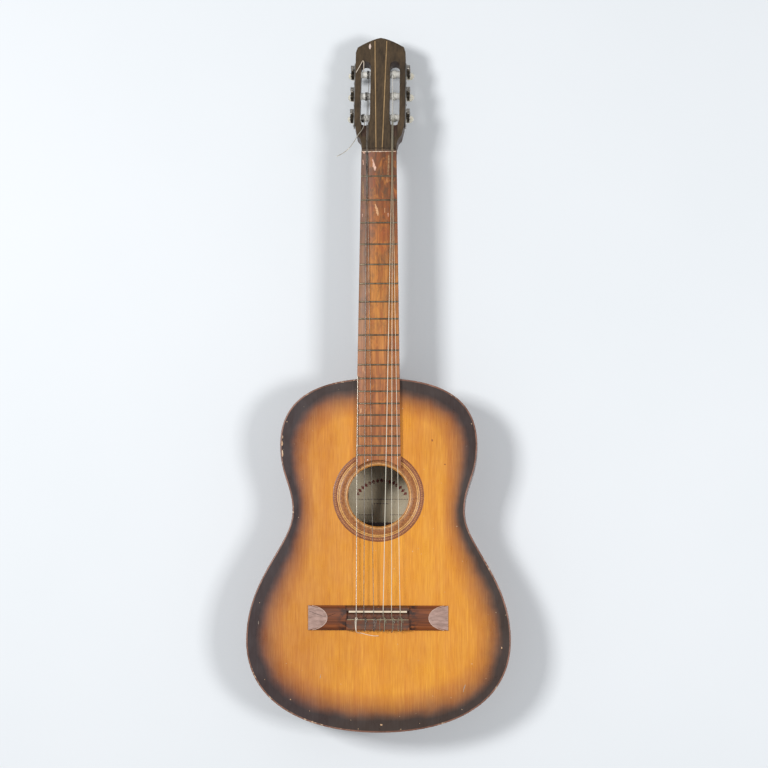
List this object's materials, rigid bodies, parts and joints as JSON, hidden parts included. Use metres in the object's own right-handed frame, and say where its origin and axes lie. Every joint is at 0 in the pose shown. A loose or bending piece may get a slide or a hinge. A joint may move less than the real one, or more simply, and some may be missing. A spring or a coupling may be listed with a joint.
{
  "type": "broken guitar",
  "caption": "Worn nylon-string guitar on its back, sunburst top, slotted head with worm-geared tuners; the nut is missing and the bass string has snapped.",
  "frame": {"origin": "middle of the outline at the level of the flat back, which lies on the floor", "axes": "+Y points from the tail to the head, +X to the treble side and +Z out of the soundboard"},
  "size_m": [0.3708, 0.9962, 0.107],
  "materials": {
    "top_wood": "worn gloss lacquer, orange spruce with a dark brown sunburst edge",
    "back_wood": "worn gloss lacquer, dark red-brown",
    "side_wood": "worn gloss lacquer, dark red-brown",
    "binding": "thin dark edging with light chips",
    "inner_wood": "bare softwood",
    "rosette_brown": "brown ring under lacquer",
    "rosette_tan": "tan lines under lacquer",
    "label_paper": "aged blank paper with plain bands",
    "neck_wood": "dark stained, satin",
    "bridge_wood": "dull red-brown with paler end facets",
    "head_face": "dark veneer, satin, one chip",
    "pale_inlay": "narrow tan line",
    "fingerboard_wood": "orange-brown, worn and chipped by the first frets",
    "white_plastic": "off-white",
    "plate_steel": "tarnished",
    "roller_plastic": "white, aged",
    "dark_gear": "blackened",
    "button_plastic": "cream, pearly",
    "nylon_string": "clear nylon",
    "wound_string": "wire-wound, dull"
  },
  "bodies": {
    "body": {"soundboard": "top_wood", "back_plate": "back_wood", "rib_treble": "side_wood", "rib_bass": "side_wood", "top_binding": "binding", "back_binding": "binding", "top_lining_treble": "inner_wood", "top_lining_bass": "inner_wood", "back_lining_treble": "inner_wood", "back_lining_bass": "inner_wood", "neck_block": "inner_wood", "tail_block": "inner_wood", "top_bar_upper": "inner_wood", "top_bar_lower": "inner_wood", "rosette_inner_ring": "rosette_brown", "rosette_middle_ring": "rosette_tan", "rosette_outer_ring": "rosette_brown", "label": "label_paper", "neck": "neck_wood", "headstock": "neck_wood", "heel_cap": "bridge_wood", "head_veneer": "head_face", "head_inlay_treble": "pale_inlay", "head_inlay_bass": "pale_inlay", "fingerboard": "fingerboard_wood", "bridge": "bridge_wood", "saddle": "white_plastic", "tuner_plate_treble": "plate_steel", "tuner_plate_bass": "plate_steel", "string_1": "nylon_string", "string_2": "nylon_string", "string_3": "nylon_string", "string_4": "wound_string", "string_5": "wound_string", "string_6_lower": "wound_string", "string_6_stub": "wound_string"},
    "key_1": {"worm_shaft_1": "plate_steel", "button_1": "button_plastic"},
    "spool_1": {"roller_1": "roller_plastic", "gear_1": "dark_gear"},
    "key_2": {"worm_shaft_2": "plate_steel", "button_2": "button_plastic"},
    "spool_2": {"roller_2": "roller_plastic", "gear_2": "dark_gear"},
    "key_3": {"worm_shaft_3": "plate_steel", "button_3": "button_plastic"},
    "spool_3": {"roller_3": "roller_plastic", "gear_3": "dark_gear"},
    "key_4": {"worm_shaft_4": "plate_steel", "button_4": "button_plastic"},
    "spool_4": {"roller_4": "roller_plastic", "gear_4": "dark_gear"},
    "key_5": {"worm_shaft_5": "plate_steel", "button_5": "button_plastic"},
    "spool_5": {"roller_5": "roller_plastic", "gear_5": "dark_gear"},
    "key_6": {"worm_shaft_6": "plate_steel", "button_6": "button_plastic"},
    "spool_6": {"roller_6": "roller_plastic", "gear_6": "dark_gear"}
  },
  "joints": [
    {"name": "key_turn_1", "type": "hinge", "parent": "body", "child": "key_1", "pos_m": [0.04052, 0.38294, 0.071], "axis": [0, 0.2588, 0.9659], "continuous": true},
    {"name": "spool_turn_1", "type": "hinge", "parent": "body", "child": "spool_1", "pos_m": [0.04052, 0.37473, 0.0732], "axis": [1, 0, 0], "continuous": true},
    {"name": "key_turn_2", "type": "hinge", "parent": "body", "child": "key_2", "pos_m": [0.04052, 0.41675, 0.06194], "axis": [0, 0.2588, 0.9659], "continuous": true},
    {"name": "spool_turn_2", "type": "hinge", "parent": "body", "child": "spool_2", "pos_m": [0.04052, 0.40854, 0.06414], "axis": [1, 0, 0], "continuous": true},
    {"name": "key_turn_3", "type": "hinge", "parent": "body", "child": "key_3", "pos_m": [0.04052, 0.45055, 0.05288], "axis": [0, 0.2588, 0.9659], "continuous": true},
    {"name": "spool_turn_3", "type": "hinge", "parent": "body", "child": "spool_3", "pos_m": [0.04052, 0.44234, 0.05508], "axis": [1, 0, 0], "continuous": true},
    {"name": "key_turn_4", "type": "hinge", "parent": "body", "child": "key_4", "pos_m": [-0.04052, 0.38294, 0.071], "axis": [0, 0.2588, 0.9659], "continuous": true},
    {"name": "spool_turn_4", "type": "hinge", "parent": "body", "child": "spool_4", "pos_m": [-0.04052, 0.37473, 0.0732], "axis": [1, 0, 0], "continuous": true},
    {"name": "key_turn_5", "type": "hinge", "parent": "body", "child": "key_5", "pos_m": [-0.04052, 0.41675, 0.06194], "axis": [0, 0.2588, 0.9659], "continuous": true},
    {"name": "spool_turn_5", "type": "hinge", "parent": "body", "child": "spool_5", "pos_m": [-0.04052, 0.40854, 0.06414], "axis": [1, 0, 0], "continuous": true},
    {"name": "key_turn_6", "type": "hinge", "parent": "body", "child": "key_6", "pos_m": [-0.04052, 0.45055, 0.05288], "axis": [0, 0.2588, 0.9659], "continuous": true},
    {"name": "spool_turn_6", "type": "hinge", "parent": "body", "child": "spool_6", "pos_m": [-0.04052, 0.44234, 0.05508], "axis": [1, 0, 0], "continuous": true}
  ],
  "couplings": [
    {"joint": "spool_turn_1", "follows": "key_turn_1", "ratio": -0.071429},
    {"joint": "spool_turn_2", "follows": "key_turn_2", "ratio": -0.071429},
    {"joint": "spool_turn_3", "follows": "key_turn_3", "ratio": -0.071429},
    {"joint": "spool_turn_4", "follows": "key_turn_4", "ratio": -0.071429},
    {"joint": "spool_turn_5", "follows": "key_turn_5", "ratio": -0.071429},
    {"joint": "spool_turn_6", "follows": "key_turn_6", "ratio": -0.071429}
  ]
}
